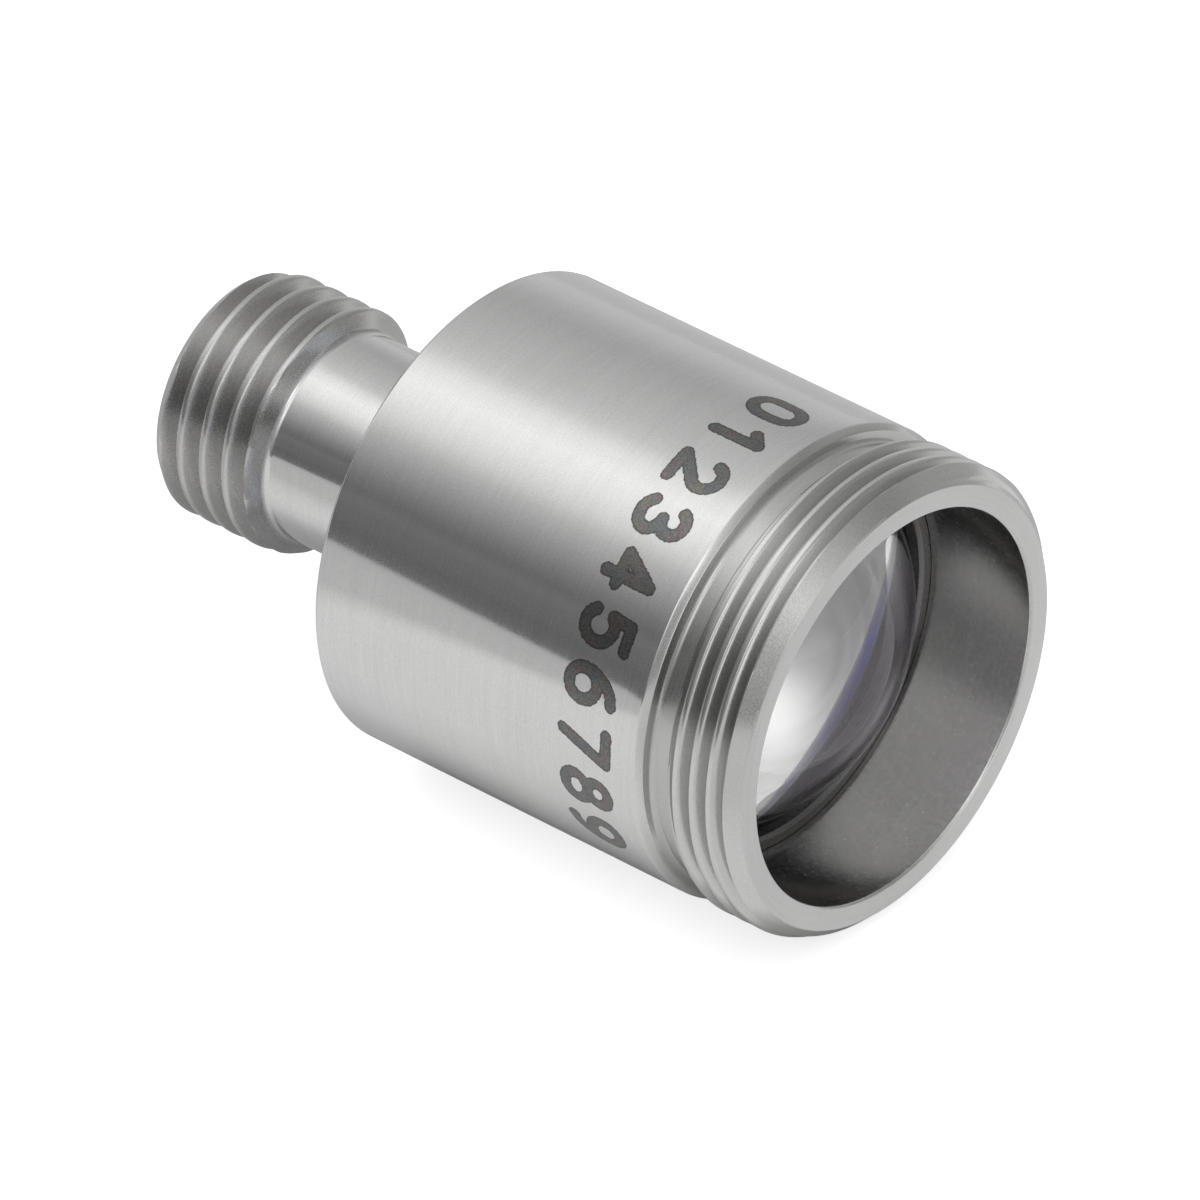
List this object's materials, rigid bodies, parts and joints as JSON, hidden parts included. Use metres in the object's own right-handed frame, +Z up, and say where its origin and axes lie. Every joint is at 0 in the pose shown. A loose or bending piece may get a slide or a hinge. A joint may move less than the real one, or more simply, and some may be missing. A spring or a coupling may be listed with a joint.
{
  "type": "fibre collimator",
  "caption": "Turned steel cylinder with a threaded fibre receptacle at the back and a domed aspheric lens in a finely threaded nose; collimates light from a fibre.",
  "frame": {"origin": "on the optical axis, on the plane of the housing's rear face", "axes": "+X along the optical axis, the way the light leaves; +Z up"},
  "size_m": [0.0203, 0.012, 0.012],
  "materials": {
    "turned_steel": "finely turned, satin",
    "receptacle_steel": "turned, satin",
    "coated_glass": "polished, anti-reflection coating with a violet reflection",
    "ring_steel": "turned, satin"
  },
  "bodies": {
    "root": {"housing": "turned_steel", "sma_receptacle": "receptacle_steel", "aspheric_lens": "coated_glass", "lens_retaining_ring": "ring_steel"}
  },
  "joints": []
}
